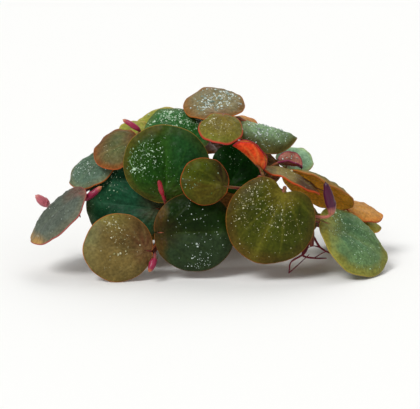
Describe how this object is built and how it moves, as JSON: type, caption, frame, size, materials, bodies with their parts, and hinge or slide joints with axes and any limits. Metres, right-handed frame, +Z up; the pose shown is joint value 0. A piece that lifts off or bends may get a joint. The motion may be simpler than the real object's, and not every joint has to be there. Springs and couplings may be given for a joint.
{
  "type": "red root floater plant",
  "caption": "Heap of red root floater with round, pouched floating leaves, crimson buds, red stems and fine red roots, resting on its lowest leaves.",
  "frame": {"origin": "under the middle of the heap, on the surface that its lowest leaves rest on", "axes": "+Z up, +X to the right seen from the front, +Y away from the front"},
  "size_m": [0.0704, 0.0368, 0.0342],
  "materials": {
    "deep_green_leaf": "satin",
    "mid_green_leaf": "satin",
    "olive_leaf": "satin",
    "bronze_leaf": "satin",
    "grey_green_leaf": "satin",
    "gold_leaf": "satin",
    "red_leaf": "satin",
    "pink_growth": "satin",
    "crimson_bud": "satin",
    "purple_bud": "satin",
    "red_stem": "satin",
    "crimson_root": "matte"
  },
  "bodies": {
    "root": {"stem_main": "red_stem", "stem_left": "red_stem", "stem_upper_left": "red_stem", "stem_front_left": "red_stem", "stem_top": "red_stem", "stem_front_right": "red_stem", "stem_young": "red_stem", "stem_right_back": "red_stem", "stem_back": "red_stem", "stem_back_left": "red_stem", "stem_back_right": "red_stem", "leaf_front_left": "olive_leaf", "leaf_front_middle": "deep_green_leaf", "leaf_front_right": "olive_leaf", "leaf_dark_left": "deep_green_leaf", "leaf_big_left": "mid_green_leaf", "leaf_small_middle": "olive_leaf", "leaf_dark_middle": "deep_green_leaf", "leaf_low_right": "grey_green_leaf", "leaf_low_left": "grey_green_leaf", "leaf_grey_left": "grey_green_leaf", "leaf_upper_left": "bronze_leaf", "leaf_upper_left_back": "olive_leaf", "leaf_top_back_left": "olive_leaf", "leaf_dark_top": "deep_green_leaf", "leaf_top": "olive_leaf", "leaf_crown_small": "olive_leaf", "leaf_upper_right": "grey_green_leaf", "leaf_shaded_right": "olive_leaf", "leaf_gold_right": "gold_leaf", "leaf_bronze_right": "bronze_leaf", "leaf_low_back_right": "olive_leaf", "leaf_teal_right": "grey_green_leaf", "leaf_orange_back": "bronze_leaf", "leaf_red_rolled": "red_leaf", "leaf_pink_young": "pink_growth", "leaf_tan_behind": "bronze_leaf", "leaf_back_left_low": "mid_green_leaf", "leaf_back_left": "deep_green_leaf", "leaf_back_middle_low": "olive_leaf", "leaf_back_middle": "mid_green_leaf", "leaf_back_right_low": "grey_green_leaf", "leaf_back_right": "olive_leaf", "leaf_back_top": "olive_leaf", "leaf_left_side_low": "olive_leaf", "leaf_right_side_low": "mid_green_leaf", "bud_left": "pink_growth", "bud_left_red": "crimson_bud", "bud_upper_left": "crimson_bud", "bud_on_big_left": "crimson_bud", "bud_front_left": "crimson_bud", "bud_purple_right": "purple_bud", "root_right_long": "crimson_root", "root_right_far": "crimson_root", "root_right_high": "crimson_root", "root_right_loop": "crimson_root", "root_left": "crimson_root"}
  },
  "joints": []
}
